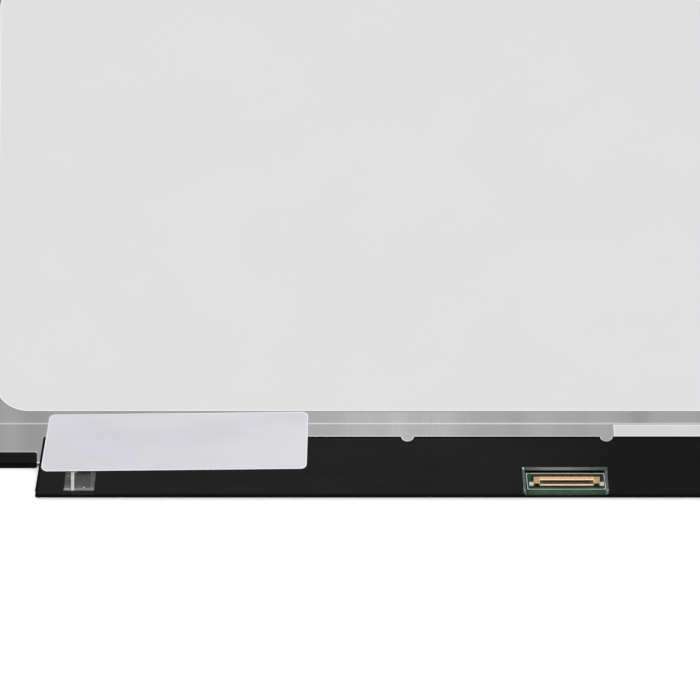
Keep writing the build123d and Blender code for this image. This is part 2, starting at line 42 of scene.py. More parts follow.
# Camera: a long lens far in front of the board's edge, looking down at the lower left part of the rear;
# its foreshortening is the height of a flat square in the picture, as a share of the width
CAMERA_DISTANCE = 10.5
FORESHORTENING = 0.75
CAMERA_ELEVATION = math.asin(FORESHORTENING)
CLIP_START = 0.1
CLIP_END = 100.0
IMAGE_WIDTH = 700
PIXELS_PER_MM = 3.129
SENSOR_WIDTH = 36.0
AIM_FROM_LEFT = 118.28 * MM
AIM_FROM_BODY_EDGE = 47.86 * MM
AIM_HEIGHT = 2.74 * MM

# Light, at a level at which a white card lying on the floor renders as white; lamps are placed from the aim
WORLD_LIGHT = 0.84
OVERHEAD_LIGHT = 0.25
OVERHEAD_PLACE = Vector((0.1, -0.4, 1.7))
OVERHEAD_SIZE = (2.4, 2.0)
BEHIND_LIGHT = 0.0075
BEHIND_PLACE = Vector((0.011, 0.22, 0.29))
BEHIND_SIZE = (0.06, 0.06)
FLOOR_SIZE = 30.0
FLOOR_DROP = 0.05 * MM
FLOOR_GLOW = 0.35

# Borders of the frame's window, and corners of the sheets on the rear
WINDOW_SIDE = 4.8 * MM
WINDOW_BELOW = 21.4 * MM
WINDOW_ABOVE = 4.65 * MM
WINDOW_CORNER = 11.2 * MM
LABEL_CORNER = 2.0 * MM
COVER_CORNER = 1.0 * MM
STRIP_CORNER = 0.5 * MM

# Reach of the smooth minimum that follows a rounded corner, as a share of the corner's radius
CORNER_SMOOTHING = 1.75

# Cut-out of the clear film round the cable connector, foot of its upper wall, and the shell's ears
CUT_OUT_HALF = 12.25 * MM
CUT_OUT_BELOW = 1.45 * MM
CUT_OUT_ABOVE = 1.9 * MM
CUT_OUT_LEAN = -0.5 * MM
TRAY_FOOT = 1.4 * MM
EAR_WIDTH = 2.0 * MM

# Notches and slanted ends of the black film; widths of the painted highlight on the metal beside it and of
# the painted shade along its edge
NOTCH_PLACES = (136.6 * MM, 200.0 * MM)
NOTCH_RADIUS = 2.05 * MM
COVER_SLANT = 3.2 * MM
EDGE_HIGHLIGHT_WIDTH = 0.3 * MM
EDGE_SHADE_WIDTH = 0.35 * MM

# Brightest place of the painted highlight on the metal's crease from the left side, and how far the
# highlight reaches
BRIGHT_PLACE = 134.0 * MM
BRIGHT_NEAR = 30 * MM
BRIGHT_FAR = 80 * MM

# Bar of the flex connector in the small window, and the paler right-hand part of that window from the bar
BAR_WIDTH = 1.1 * MM
PALER_PART = 5.9 * MM


def srgb(red, green, blue):
    """A colour as a shader takes it, from its values on a screen between 0 and 255."""
    channels = []
    for value in (red, green, blue):
        share = value / 255
        channels.append(share / 12.92 if share <= 0.04045 else ((share + 0.055) / 1.055) ** 2.4)
    return (*channels, 1.0)


class Finish:
    """A node material whose textures lie in the object's own space, in metres."""

    def __init__(self, name, roughness=0.5, specular=0.5, metallic=0.0):
        self.material = bpy.data.materials.new(name)
        self.material.use_nodes = True
        self.tree = self.material.node_tree
        self.shader = self.tree.nodes["Principled BSDF"]
        self.shader.inputs["Roughness"].default_value = roughness
        self.shader.inputs["Specular IOR Level"].default_value = specular
        self.shader.inputs["Metallic"].default_value = metallic
        self.place = self.node("ShaderNodeTexCoord").outputs["Object"]

    def node(self, kind, **settings):
        made = self.tree.nodes.new(kind)
        for name, value in settings.items():
            setattr(made, name, value)
        return made

    def feed(self, socket, value):
        """Links an output to a socket, or sets a constant on it."""
        if hasattr(value, "is_linked"):
            self.tree.links.new(value, socket)
        else:
            socket.default_value = value

    def math(self, operation, *values):
        made = self.node("ShaderNodeMath", operation=operation)
        for socket, value in zip(made.inputs, values):
            self.feed(socket, value)
        return made.outputs["Value"]

    def chain(self, operation, values):
        """Several values joined one after the other by the same operation."""
        total = values[0]
        for value in values[1:]:
            total = self.math(operation, total, value)
        return total

    def most(self, *values):
        """The largest of several values."""
        return self.chain("MAXIMUM", values)

    def times(self, *values):
        """The product of several values."""
        return self.chain("MULTIPLY", values)

    def vector_math(self, operation, *values):
        made = self.node("ShaderNodeVectorMath", operation=operation)
        for socket, value in zip(made.inputs, values):
            self.feed(socket, value)
        return made.outputs["Value" if operation in ("LENGTH", "DOT_PRODUCT") else "Vector"]

    def axis(self, name, start=0.0):
        """One coordinate of the place on the object, in metres from a start."""
        parts = self.node("ShaderNodeSeparateXYZ")
        self.feed(parts.inputs["Vector"], self.place)
        return self.math("SUBTRACT", parts.outputs[name], start)

    def aside(self, middle=0.0):
        """Distance to either side of a middle, along X."""
        return self.math("ABSOLUTE", self.axis("X", middle))

    def plan_distance(self, x, y):
        """Distance in plan from a place on the object."""
        offset = self.vector_math("SUBTRACT", self.place, (x, y, 0))
        return self.vector_math("LENGTH", self.vector_math("MULTIPLY", offset, (1, 1, 0)))

    def noise(self, *size, detail=3.0):
        """Soft noise with features of a size in metres, one for all axes or one each for X, Y and Z."""
        if len(size) == 1:
            size = size * 3
        mapping = self.node("ShaderNodeMapping")
        mapping.inputs["Scale"].default_value = [1 / length for length in size]
        self.feed(mapping.inputs["Vector"], self.place)
        texture = self.node("ShaderNodeTexNoise")
        texture.inputs["Scale"].default_value = 1.0
        texture.inputs["Detail"].default_value = detail
        self.feed(texture.inputs["Vector"], mapping.outputs["Vector"])
        return texture.outputs["Fac"]

    def between(self, factor, start, end, low=0.0, high=1.0):
        """A value that goes smoothly from low to high while a factor goes from start to end."""
        made = self.node("ShaderNodeMapRange", interpolation_type="SMOOTHSTEP")
        for name, value in (("Value", factor), ("From Min", start), ("From Max", end),
                            ("To Min", low), ("To Max", high)):
            self.feed(made.inputs[name], value)
        return made.outputs["Result"]

    def fade(self, factor, start, end, high=1.0):
        """A value that falls smoothly to 0 while a factor goes from start to end."""
        return self.between(factor, start, end, high, 0.0)

    def band(self, factor, start, end, soft):
        """A value that is 1 while a factor lies between start and end, and falls off softly beside them."""
        return self.times(self.between(factor, start - soft, start), self.fade(factor, end, end + soft))

    def mix(self, factor, low, high):
        """A colour between two others, each a constant or an output."""
        made = self.node("ShaderNodeMix", data_type="RGBA")
        self.feed(made.inputs[0], factor)
        self.feed(made.inputs[6], low)
        self.feed(made.inputs[7], high)
        return made.outputs[2]

    def mottle(self, noise, dark, light, start=0.3, end=0.7):
        """A colour that goes from dark to light while a noise goes from start to end."""
        return self.mix(self.between(noise, start, end), dark, light)

    def colour(self, value):
        self.feed(self.shader.inputs["Base Color"], value)

    def cover(self, value):
        """How much of what lies behind is hidden, from 0 to 1."""
        self.feed(self.shader.inputs["Alpha"], value)

    def metal(self, value):
        """How metallic the surface is, from 0 to 1."""
        self.feed(self.shader.inputs["Metallic"], value)

    def rough(self, noise, low, high):
        """Roughness that goes from low to high with a noise."""
        self.feed(self.shader.inputs["Roughness"], self.between(noise, 0.3, 0.7, low, high))

    def bump(self, height, depth):
        """Relief of a depth in metres from a height between 0 and 1, over any relief set before."""
        made = self.node("ShaderNodeBump")
        made.inputs["Distance"].default_value = depth
        self.feed(made.inputs["Height"], height)
        socket = self.shader.inputs["Normal"]
        if socket.is_linked:
            self.feed(made.inputs["Normal"], socket.links[0].from_socket)
        self.feed(socket, made.outputs["Normal"])


def rounded_box_distance(finish, low, high, corner, place=None):
    """Distance from a round-cornered outline in plan, for places outside it or near its edge."""
    place = place or finish.place
    middle = (low + high) / 2
    core = (high - low) / 2 - Vector((corner, corner, 0))
    # Far thicker than the part, so that height doesn't count
    core.z = 1.0
    offset = finish.vector_math("ABSOLUTE", finish.vector_math("SUBTRACT", place, middle))
    outside = finish.vector_math("MAXIMUM", finish.vector_math("SUBTRACT", offset, core), (0, 0, 0))
    return finish.math("SUBTRACT", finish.vector_math("LENGTH", outside), corner)


def edge_distance(finish, node, corner):
    """Distance inwards from the outline of a four-sided sheet with rounded corners."""
    points = [Vector(vertex.co[:2]) for vertex in nodes[node].data.vertices]
    hull = [points[index] for index in convex_hull_2d(points)]
    middle = sum(hull, Vector((0, 0))) / len(hull)
    sides = sorted(zip(hull, hull[1:] + hull[:1]), key=lambda side: (side[0] - side[1]).length)
    nearest = None
    for start, end in sides[-4:]:
        along = (end - start).normalized()
        inward = Vector((-along.y, along.x))
        if inward.dot(middle - start) < 0:
            inward = -inward
        reach = finish.vector_math("DOT_PRODUCT", finish.place, (inward.x, inward.y, 0))
        distance = finish.math("SUBTRACT", reach, inward.dot(start))
        if nearest is None:
            nearest = distance
        else:
            nearest = finish.math("SMOOTH_MIN", nearest, distance, corner * CORNER_SMOOTHING)
    return nearest


def spots(finish, places, inner, outer):
    """Small round spots in plan, each given by its place on the object and its strength."""
    return finish.most(*[
        finish.fade(finish.plan_distance(x, y), inner, outer, strength) for x, y, strength in places])


def plain(name, dark, light, size, roughness=0.5, specular=0.5, metallic=0.0, grain=0.0):
    """A finish with two close tones in soft noise and, if asked, a fine grain of a depth in metres."""
    finish = Finish(name, specular=specular, metallic=metallic)
    tone = finish.noise(size)
    finish.colour(finish.mottle(tone, dark, light, 0.35, 0.65))
    finish.rough(tone, roughness * 0.85, roughness * 1.15)
    if grain:
        finish.bump(finish.noise(size / 8), grain)
    return finish.material


def brushed_metal():
    """Satin sheet metal of the rear frame, with soft bands, a painted highlight along its crease and
    painted highlights beside what lies on it.
    """
    finish = Finish("frame_metal", metallic=1.0)
    bands = finish.noise(13 * MM, 300 * MM, 60 * MM, detail=1.0)
    streaks = finish.noise(0.8 * MM, 40 * MM, 8 * MM)
    soft = finish.mottle(bands, srgb(161, 161, 162), srgb(174, 174, 175))
    fine = finish.mix(finish.between(streaks, 0.3, 0.7, 0.0, 0.08), soft, srgb(176, 176, 177))
    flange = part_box("strip_tape")[0].z
    # Painted highlight along the crease, brightest near BRIGHT_PLACE
    crease = finish.band(finish.axis("Z", flange), 0.05 * MM, 0.2 * MM, 0.03 * MM)
    away = finish.aside(cad_low.x + BRIGHT_PLACE)
    crease_highlight = finish.mix(
        finish.between(away, BRIGHT_NEAR, BRIGHT_FAR), srgb(190, 190, 191), srgb(172, 172, 173))
    with_crease_highlight = finish.mix(crease, fine, crease_highlight)
    # Painted highlights on the metal beside the black film, the tapes and the notches
    with_edge_highlights = finish.mix(finish.times(edge_highlights(finish), 0.8), with_crease_highlight, srgb(204, 204, 205))
    finish.colour(lower_wall_light_and_shade(finish, flange, with_edge_highlights))
    finish.rough(streaks, 0.27, 0.29)
    finish.bump(streaks, 0.0003 * MM)
    return finish.material


def edge_highlights(finish):
    """Painted highlights: thin lines on the metal above the black film and the tapes, and inside the film's
    notches.
    """
    film_low, film_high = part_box("board_cover_film")
    tape_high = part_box("edge_tape_left")[1]
    film_end = abs(film_low.x) - COVER_SLANT
    tape_end = abs(tape_high.x)
    above_film = finish.band(finish.axis("Y", film_high.y), 0, EDGE_HIGHLIGHT_WIDTH, EDGE_HIGHLIGHT_WIDTH)
    above_tape = finish.band(finish.axis("Y", tape_high.y), 0, EDGE_HIGHLIGHT_WIDTH, EDGE_HIGHLIGHT_WIDTH)
    over_film = finish.fade(finish.aside(), film_end - EDGE_HIGHLIGHT_WIDTH, film_end)
    over_tape = finish.between(finish.aside(), tape_end - EDGE_HIGHLIGHT_WIDTH, tape_end)
    straight = finish.most(finish.times(above_film, over_film), finish.times(above_tape, over_tape))
    beside_notch = finish.between(notch_distance(finish), NOTCH_RADIUS - 0.2 * MM, NOTCH_RADIUS)
    rings = notch_rings(finish, NOTCH_RADIUS - EDGE_HIGHLIGHT_WIDTH, NOTCH_RADIUS)
    return finish.most(finish.times(straight, beside_notch), rings)


def lower_wall_light_and_shade(finish, flange, metal):
    """Metal with a painted highlight on the bend of the lower wall and painted shade below it, between the
    two tapes.
    """
    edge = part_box("rear_frame")[0].y
    end = abs(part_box("edge_tape_left")[1].x) + 1 * MM
    between_tapes = finish.fade(finish.aside(), end, end + 0.5 * MM)
    outer = finish.times(finish.fade(finish.axis("Y", edge), 0.25 * MM, 0.45 * MM), between_tapes)
    height = finish.axis("Z", flange)
    # Painted highlight on the bend
    bend_highlight = finish.times(outer, finish.between(height, -0.4 * MM, -0.25 * MM))
    # Painted shade on the lower wall below the bend
    wall = finish.times(outer, finish.fade(height, -0.45 * MM, -0.3 * MM))
    return finish.mix(wall, finish.mix(bend_highlight, metal, srgb(244, 244, 245)), srgb(98, 98, 99))


def notch_distance(finish):
    """Distance in plan from the middle of the nearer of the two notches in the black film."""
    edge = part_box("board_cover_film")[1].y
    reaches = [finish.plan_distance(cad_low.x + place, edge) for place in NOTCH_PLACES]
    return finish.chain("MINIMUM", reaches)


def notch_rings(finish, inner, outer):
    """Half rings round the lower edges of the two notches in the black film, between two radii."""
    below = finish.fade(finish.axis("Y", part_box("board_cover_film")[1].y), 0, 0.2 * MM)
    return finish.times(below, finish.band(notch_distance(finish), inner, outer, 0.2 * MM))


def reflector_white():
    """Light grey-white sheet, with a painted highlight in a band inside the window's border and a painted
    shadow next to the frame's edge.
    """
    finish = Finish("reflector_white", roughness=0.7, specular=0.15)
    low, high = window_corners()
    reach = rounded_box_distance(finish, low, high, WINDOW_CORNER)
    sheet = finish.mottle(finish.noise(45 * MM), srgb(223, 223, 223), srgb(224, 224, 224))
    # Painted highlight in a band inside the window's border
    painted_edge_tone = finish.mix(finish.band(reach, -1.05 * MM, -0.72 * MM, 0.15 * MM), sheet, srgb(239, 239, 239))
    # Painted shadow next to the frame's edge
    finish.colour(finish.mix(finish.between(reach, -0.7 * MM, -0.5 * MM), painted_edge_tone, srgb(146, 146, 147)))
    finish.bump(finish.noise(0.2 * MM), 0.002 * MM)
    return finish.material


def window_corners():
    """Opposite corners of the frame's window, from the frame's box and its borders."""
    low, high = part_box("rear_frame")
    inner_low = low + Vector((WINDOW_SIDE, WINDOW_BELOW, 0))
    inner_high = high - Vector((WINDOW_SIDE, WINDOW_ABOVE, 0))
    return inner_low, inner_high


def cover_black():
    """Black film with a fine grain and slow waves, painted shade that darkens it towards the right, and
    painted shade where it is folded down and along its cut edges.
    """
    finish = Finish("cover_black", specular=0.02)
    low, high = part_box("board_cover_film")
    waves = finish.noise(38 * MM, 9 * MM, 9 * MM, detail=2.0)
    pale = finish.mottle(waves, srgb(31, 31, 31), srgb(34, 34, 35))
    deep = finish.mottle(waves, srgb(22, 22, 22), srgb(25, 25, 25))
    # Painted shade: darker towards the right
    rear = finish.mix(finish.between(finish.axis("X"), -30 * MM, 40 * MM), pale, deep)
    reach = edge_distance(finish, "board_cover_film", COVER_CORNER)
    above_fold = finish.between(finish.axis("Y", low.y), 0.7 * MM, 1.3 * MM)
    # Painted shade along the cut edges and round the notches
    painted_edge_shade = finish.times(finish.fade(reach, 0.5 * MM, 0.5 * MM + EDGE_SHADE_WIDTH), above_fold)
    painted_edge_shade = finish.most(painted_edge_shade, notch_rings(finish, NOTCH_RADIUS, NOTCH_RADIUS + EDGE_SHADE_WIDTH))
    painted_edge_tone = finish.mix(painted_edge_shade, rear, srgb(11, 11, 11))
    # Painted shade on the folded-down side, below the top
    unshaded_top = finish.between(finish.axis("Z", high.z), -0.6 * MM, -0.2 * MM)
    finish.colour(finish.mix(unshaded_top, srgb(7, 7, 7), painted_edge_tone))
    finish.rough(waves, 0.42, 0.5)
    finish.bump(waves, 0.05 * MM)
    finish.bump(finish.noise(0.25 * MM), 0.003 * MM)
    return finish.material


def tape_black():
    """Thin black tape, with painted shade on its turned-down side."""
    finish = Finish("tape_black", specular=0.02)
    grain = finish.noise(0.3 * MM)
    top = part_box("edge_tape_left")[1].z
    unshaded_top = finish.between(finish.axis("Z", top), -0.35 * MM, -0.05 * MM)
    rear = finish.mottle(grain, srgb(24, 24, 24), srgb(27, 27, 27), 0.35, 0.65)
    # Painted shade on the turned-down side, below the top
    finish.colour(finish.mix(unshaded_top, srgb(7, 7, 7), rear))
    finish.rough(grain, 0.42, 0.55)
    finish.bump(grain, 0.004 * MM)
    return finish.material


def label_paper():
    """White paper with a cool cast, faint mottling and slow waves, painted shade towards its left end and a
    painted highlight along its cut edge.
    """
    finish = Finish("label_paper", roughness=0.6, specular=0.2)
    low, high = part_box("label")
    middle = (low + high) / 2
    patches = finish.noise(26 * MM, 12 * MM, 12 * MM, detail=1.5)
    tint = finish.noise(14 * MM, 9 * MM, 9 * MM, detail=1.0)
    fibres = finish.noise(0.8 * MM, 0.5 * MM, 0.5 * MM)
    paper = finish.mottle(patches, srgb(211, 210, 216), srgb(219, 218, 223), 0.35, 0.65)
    # Painted shade towards the left end
    shade = finish.fade(finish.axis("X"), low.x, high.x, 0.4)
    shaded = finish.mix(shade, paper, srgb(205, 204, 210))
    tinted = finish.mix(finish.between(tint, 0.5, 0.75, 0.0, 0.6), shaded, srgb(214, 213, 224))
    flecked = finish.mix(finish.between(fibres, 0.4, 0.7, 0.0, 0.2), tinted, srgb(207, 207, 214))
    reach = edge_distance(finish, "label", LABEL_CORNER)
    # Painted highlight along the cut edge, strongest at the bottom and the right
    lower = finish.between(finish.axis("Y"), middle.y - 4 * MM, high.y - 1 * MM, 0.85, 0.3)
    right = finish.between(finish.axis("X"), middle.x, high.x, 0.3, 0.85)
    rim_highlight = finish.times(finish.most(lower, right), finish.fade(reach, 0.2 * MM, 0.5 * MM))
    finish.colour(finish.mix(rim_highlight, flecked, srgb(241, 241, 244)))
    finish.bump(patches, 0.05 * MM)
    finish.bump(fibres, 0.003 * MM)
    return finish.material


def clear_film():
    """Clear film round the connector: hazy on its walls, with painted shade on its side walls, a painted
    shadow at the foot of its upper wall, painted glints at three corners and a painted highlight along its
    cut edge.
    """
    finish = Finish("clear_film", specular=0.08)
    low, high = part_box("connector_window_film")
    middle = shell_middle()
    haze = finish.noise(12 * MM, 5 * MM, 5 * MM, detail=1.0)
    wall = finish.band(finish.axis("Z"), low.z + 0.25 * MM, high.z - 0.2 * MM, 0.12 * MM)
    # Painted highlight along the cut edge
    edge = finish.fade(cut_out_distance(finish), 0.16 * MM, 0.32 * MM)
    foot_line = high.y - TRAY_FOOT
    floor = finish.fade(finish.axis("Z", low.z), 0.15 * MM, 0.3 * MM)
    # Painted shadow at the foot of the upper wall
    foot_shade = finish.times(finish.band(finish.axis("Y", foot_line), -0.75 * MM, 0.05 * MM, 0.15 * MM), floor)
    # Painted glints at three corners of the tray
    painted_glints = spots(finish, [
        (middle - 13.9 * MM, foot_line + 0.25 * MM, 1.0),
        (middle - 13.3 * MM, low.y + 1.7 * MM, 0.5),
        (middle + 13.05 * MM, low.y + 1.4 * MM, 0.6)], 0.2 * MM, 0.5 * MM)
    cloud = finish.mottle(haze, srgb(160, 165, 163), srgb(182, 186, 184))
    # Painted shade on the side walls
    side_wall_shade = finish.between(finish.aside(middle - 2 * MM), 3 * MM, 13 * MM, 0.0, 0.8)
    cloud = finish.mix(side_wall_shade, cloud, srgb(106, 116, 111))
    lit = finish.mix(finish.most(edge, painted_glints), cloud, srgb(228, 236, 230))
    finish.colour(finish.mix(foot_shade, lit, srgb(4, 5, 4)))
    thin = finish.math("ADD", 0.06, finish.times(wall, 0.54))
    thin = finish.math("ADD", thin, finish.times(edge, 0.6))
    finish.cover(finish.most(thin, painted_glints, finish.times(foot_shade, 0.97)))
    finish.rough(haze, 0.12, 0.22)
    finish.bump(haze, 0.01 * MM)
    return finish.material


def shell_middle():
    """Middle of the cable connector's shell, along X."""
    low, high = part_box("connector_shell")
    return (low.x + high.x) / 2


def cut_out_distance(finish):
    """Distance outwards from the edge of the clear film's leaning cut-out, 0 inside it."""
    shell_low, shell_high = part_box("connector_shell")
    middle = shell_middle()
    low = Vector((middle - CUT_OUT_HALF, shell_low.y - CUT_OUT_BELOW, 0))
    high = Vector((middle + CUT_OUT_HALF, shell_high.y + CUT_OUT_ABOVE, 0))
    slope = CUT_OUT_LEAN / (high.y - low.y)
    shift = finish.node("ShaderNodeCombineXYZ")
    finish.feed(shift.inputs["X"], finish.times(finish.axis("Y", low.y), -slope))
    upright = finish.vector_math("ADD", finish.place, shift.outputs["Vector"])
    return rounded_box_distance(finish, low, high, 0.0, upright)


def smoky_film():
    """Film of the small window: greyed by adhesive left of the flex connector, milky towards its fold, with
    a painted highlight along the fold, painted shade below it and two painted glints.
    """
    finish = Finish("smoky_film", specular=0.15)
    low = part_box("tail_window_film")[0]
    bar_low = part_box("tail_connector")[0]
    haze = finish.noise(3 * MM, 2 * MM, 2 * MM)
    height = finish.axis("Y", low.y)
    across = finish.axis("X", bar_low.x)
    # Painted highlight along the fold
    fold_highlight = finish.band(height, 1.4 * MM, 2.05 * MM, 0.25 * MM)
    # Painted shade below the fold
    below = finish.fade(height, 0.95 * MM, 1.3 * MM)
    glow = finish.fade(height, 2 * MM, 5 * MM, 0.35)
    left = finish.fade(across, -0.5 * MM, -0.1 * MM)
    right = finish.between(across, PALER_PART, PALER_PART + 0.7 * MM)
    bar = finish.band(across, 0, BAR_WIDTH, 0.2 * MM)
    # Painted glints in two small spots
    glint_spots = spots(finish, [
        (bar_low.x + 4.15 * MM, low.y + 2.4 * MM, 0.9),
        (bar_low.x - 0.75 * MM, low.y + 7.4 * MM, 0.4)], 0.15 * MM, 0.35 * MM)
    cloud = finish.mottle(haze, srgb(62, 61, 64), srgb(92, 91, 93))
    pale = finish.mix(finish.most(fold_highlight, glow, finish.times(right, 0.6)), cloud, srgb(166, 170, 168))
    dark = finish.mix(below, pale, srgb(22, 24, 23))
    finish.colour(finish.mix(glint_spots, dark, srgb(236, 236, 238)))
    glued = finish.math("ADD", 0.07, finish.times(left, 0.7))
    milky = finish.most(glow, finish.times(fold_highlight, 0.4), finish.times(right, 0.15))
    milky = finish.times(milky, finish.between(bar, 0.0, 1.0, 1.0, 0.15))
    finish.cover(finish.most(glued, milky, glint_spots, finish.times(below, 0.75)))
    finish.rough(haze, 0.1, 0.2)
    finish.bump(haze, 0.02 * MM)
    return finish.material


def board_green():
    """Green solder mask over copper tracks, with dark brown painted shade and reflection round the cable
    connector on its rear face, painted shadows behind the shell's ears and painted shade along the lower
    edge.
    """
    finish = Finish("board_green", specular=0.15)
    low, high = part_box("connector_shell")
    board_low, board_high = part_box("circuit_board")
    tracks = finish.node("ShaderNodeTexBrick")
    for name, value in (("Scale", 1.0), ("Mortar Size", 0.12 * MM), ("Mortar Smooth", 0.4),
                        ("Brick Width", 3.1 * MM), ("Row Height", 0.8 * MM)):
        tracks.inputs[name].default_value = value
    finish.feed(tracks.inputs["Vector"], finish.place)
    tone = finish.noise(4 * MM, 2 * MM, 2 * MM)
    mask = finish.mottle(tone, srgb(26, 58, 36), srgb(38, 78, 50), 0.35, 0.65)
    raised = finish.mix(finish.times(tracks.outputs["Fac"], 0.25), mask, srgb(56, 98, 64))
    # Painted shade and reflection of the shell, dark brown, round the cable connector
    deep = finish.band(finish.axis("Y"), low.y - 0.6 * MM, high.y + 1.5 * MM, 0.25 * MM)
    wide = finish.band(finish.axis("X"), low.x - 0.35 * MM, high.x + 0.35 * MM, 0.9 * MM)
    rear = finish.between(finish.axis("Z", board_high.z), -0.3 * MM, -0.1 * MM)
    shade_round_connector = finish.mix(finish.times(rear, deep, wide), raised, srgb(40, 33, 22))
    # Painted shadows behind the shell's ears
    shadows_behind_ears = spots(finish, [
        (low.x - 0.15 * MM, high.y + 0.2 * MM, 0.95),
        (high.x + 0.15 * MM, high.y + 0.3 * MM, 0.95)], 0.3 * MM, 0.9 * MM)
    shade_round_connector = finish.mix(finish.times(rear, shadows_behind_ears), shade_round_connector, srgb(4, 4, 3))
    # Painted shade along the board's lower edge
    painted_edge_shade = finish.fade(finish.axis("Y", board_low.y), 0.2 * MM, 0.9 * MM)
    finish.colour(finish.mix(painted_edge_shade, shade_round_connector, srgb(14, 22, 14)))
    finish.rough(tone, 0.28, 0.4)
    finish.bump(tracks.outputs["Fac"], 0.02 * MM)
    return finish.material


def strip_light():
    """Light strip with a painted highlight along its edges."""
    finish = Finish("strip_light", specular=0.2)
    tone = finish.noise(12 * MM)
    sheet = finish.mottle(tone, srgb(211, 211, 212), srgb(215, 215, 216), 0.35, 0.65)
    reach = edge_distance(finish, "strip_tape", STRIP_CORNER)
    # Painted highlight along the edges
    finish.colour(finish.mix(finish.fade(reach, 0.2 * MM, 0.7 * MM, 0.8), sheet, srgb(232, 232, 233)))
    finish.rough(tone, 0.5, 0.65)
    finish.bump(finish.noise(1.5 * MM), 0.004 * MM)
    return finish.material


def gold_shell():
    """Plated shell of the connector: rose gold, with a painted highlight at its front edge, painted shade
    at its back, and darker on its ears.
    """
    finish = Finish("gold_shell", metallic=1.0)
    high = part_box("connector_shell")[1]
    middle = shell_middle()
    tone = finish.noise(0.9 * MM, 0.5 * MM, 0.5 * MM)
    warm = finish.mottle(tone, srgb(218, 172, 130), srgb(236, 194, 152))
    # Painted highlight at the front edge
    front = finish.fade(finish.axis("Y", high.y), -1.5 * MM, -1.0 * MM)
    # Painted shade at the back
    back = finish.between(finish.axis("Y", high.y), -0.55 * MM, -0.1 * MM)
    front_highlight = finish.mix(front, warm, srgb(255, 240, 200))
    shaded = finish.mix(back, front_highlight, srgb(142, 108, 78))
    ear_start = high.x - middle - EAR_WIDTH
    ear = finish.between(finish.aside(middle), ear_start, ear_start + 0.2 * MM)
    ear_tone = finish.mottle(tone, srgb(174, 143, 104), srgb(212, 180, 138))
    finish.colour(finish.mix(ear, shaded, finish.mix(back, ear_tone, srgb(84, 66, 44))))
    # The painted highlight at the front edge is also made less metallic, so that it shows brighter
    lit_edge = finish.times(front, finish.math("SUBTRACT", 1.0, ear))
    finish.metal(finish.math("SUBTRACT", 1.0, finish.times(lit_edge, 0.7)))
    finish.rough(tone, 0.28, 0.42)
    finish.bump(tone, 0.015 * MM)
    return finish.material


def housing_cream():
    """Moulded housing: pale along its lip, with brown painted shade inside its mouth and painted shade at
    its foot.
    """
    finish = Finish("housing_cream", specular=0.4)
    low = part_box("connector_housing")[0]
    tone = finish.noise(1.5 * MM, 0.6 * MM, 0.6 * MM)
    lip = finish.mottle(tone, srgb(222, 198, 180), srgb(240, 220, 204), 0.35, 0.65)
    mouth_shade = finish.mottle(tone, srgb(82, 58, 40), srgb(112, 80, 58), 0.35, 0.65)
    # Painted shade, brown, inside the mouth
    inside = finish.between(finish.axis("Y", low.y), 0.45 * MM, 0.7 * MM)
    # Painted shade at the foot
    foot_shade = finish.fade(finish.axis("Z", low.z), 0.14 * MM, 0.24 * MM)
    finish.colour(finish.mix(foot_shade, finish.mix(inside, lip, mouth_shade), srgb(58, 48, 36)))
    finish.rough(tone, 0.4, 0.55)
    finish.bump(tone, 0.004 * MM)
    return finish.material


def dark_glass():
    """Polariser: near black, with a fine matt coating."""
    finish = Finish("polariser_dark", specular=0.4)
    grain = finish.noise(0.15 * MM)
    finish.colour(finish.mottle(finish.noise(80 * MM), srgb(14, 15, 18), srgb(20, 21, 25)))
    finish.rough(grain, 0.22, 0.32)
    finish.bump(grain, 0.002 * MM)
    return finish.material


